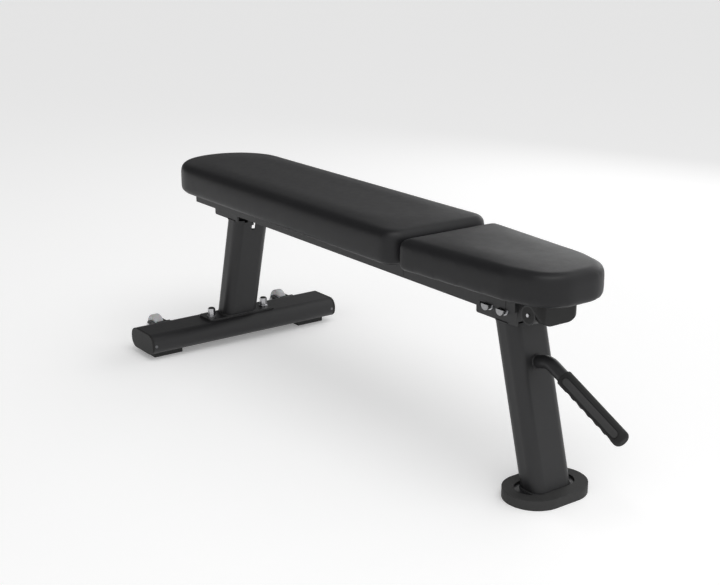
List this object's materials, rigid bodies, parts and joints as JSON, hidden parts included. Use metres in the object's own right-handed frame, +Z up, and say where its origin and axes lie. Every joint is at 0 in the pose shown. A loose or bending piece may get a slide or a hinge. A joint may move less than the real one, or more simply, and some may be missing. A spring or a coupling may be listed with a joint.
{
  "type": "weight bench",
  "caption": "Flat weight bench: long back pad and tapered seat pad on a steel rail, rear crossbar with transport wheels, oval front base and a lifting handle.",
  "frame": {"origin": "on the floor, under the middle of the bench's length and width", "axes": "+X from the back pad towards the seat and handle, +Y to a sitter's left, +Z up"},
  "size_m": [1.399, 0.523, 0.45],
  "materials": {
    "powder_coat": "satin black powder coat",
    "black_plastic": "matte moulded black",
    "zinc": "bright zinc plate",
    "dull_zinc": "dull zinc plate",
    "dark_screw": "dull dark steel",
    "rubber": "matte black rubber",
    "wheel_tread": "smooth pale grey, slightly translucent",
    "wheel_hub": "smooth grey nylon",
    "grip_rubber": "soft matte black",
    "grip_panel": "fine matte texture",
    "plywood": "raw birch plywood",
    "vinyl": "satin black vinyl with a very fine grain"
  },
  "bodies": {
    "frame": {"rear_rail": "powder_coat", "front_rail": "powder_coat", "rail_joiner": "powder_coat", "rail_end_plug": "black_plastic", "rear_saddle": "powder_coat", "front_saddle": "powder_coat", "front_lugs": "powder_coat", "saddle_bolts": "dull_zinc", "saddle_washers": "zinc", "rear_leg": "powder_coat", "front_leg": "powder_coat", "leg_flange": "powder_coat", "flange_bolts": "zinc", "flange_washers": "zinc", "flange_nuts": "zinc", "flange_caps": "black_plastic", "crossbar": "powder_coat", "crossbar_cap_left": "black_plastic", "crossbar_cap_right": "black_plastic", "cap_screws": "dark_screw", "crossbar_foot_left": "rubber", "crossbar_foot_right": "rubber", "wheel_bracket_left": "powder_coat", "wheel_bracket_right": "powder_coat", "axle_bolt_left": "zinc", "axle_bolt_right": "zinc", "axle_nut_left": "zinc", "axle_nut_right": "zinc", "base_plate": "powder_coat", "base_shoe": "rubber", "cross_tube": "powder_coat", "cross_tube_plugs": "black_plastic", "cross_tube_screws": "zinc", "front_cover": "black_plastic", "handle_tube": "powder_coat", "handle_grip": "grip_rubber", "grip_panels": "grip_panel", "back_board": "plywood", "seat_board": "plywood", "back_pad": "vinyl", "seat_pad": "vinyl", "pad_bolts": "zinc", "tee_nuts": "zinc"},
    "wheel_left": {"wheel_tyre_left": "wheel_tread", "wheel_hub_left": "wheel_hub"},
    "wheel_right": {"wheel_tyre_right": "wheel_tread", "wheel_hub_right": "wheel_hub"}
  },
  "joints": [
    {"name": "wheel_left_spin", "type": "hinge", "parent": "frame", "child": "wheel_left", "pos_m": [-0.6745, 0.179, 0.043], "axis": [0, 1, 0], "continuous": true},
    {"name": "wheel_right_spin", "type": "hinge", "parent": "frame", "child": "wheel_right", "pos_m": [-0.6745, -0.179, 0.043], "axis": [0, 1, 0], "continuous": true}
  ]
}
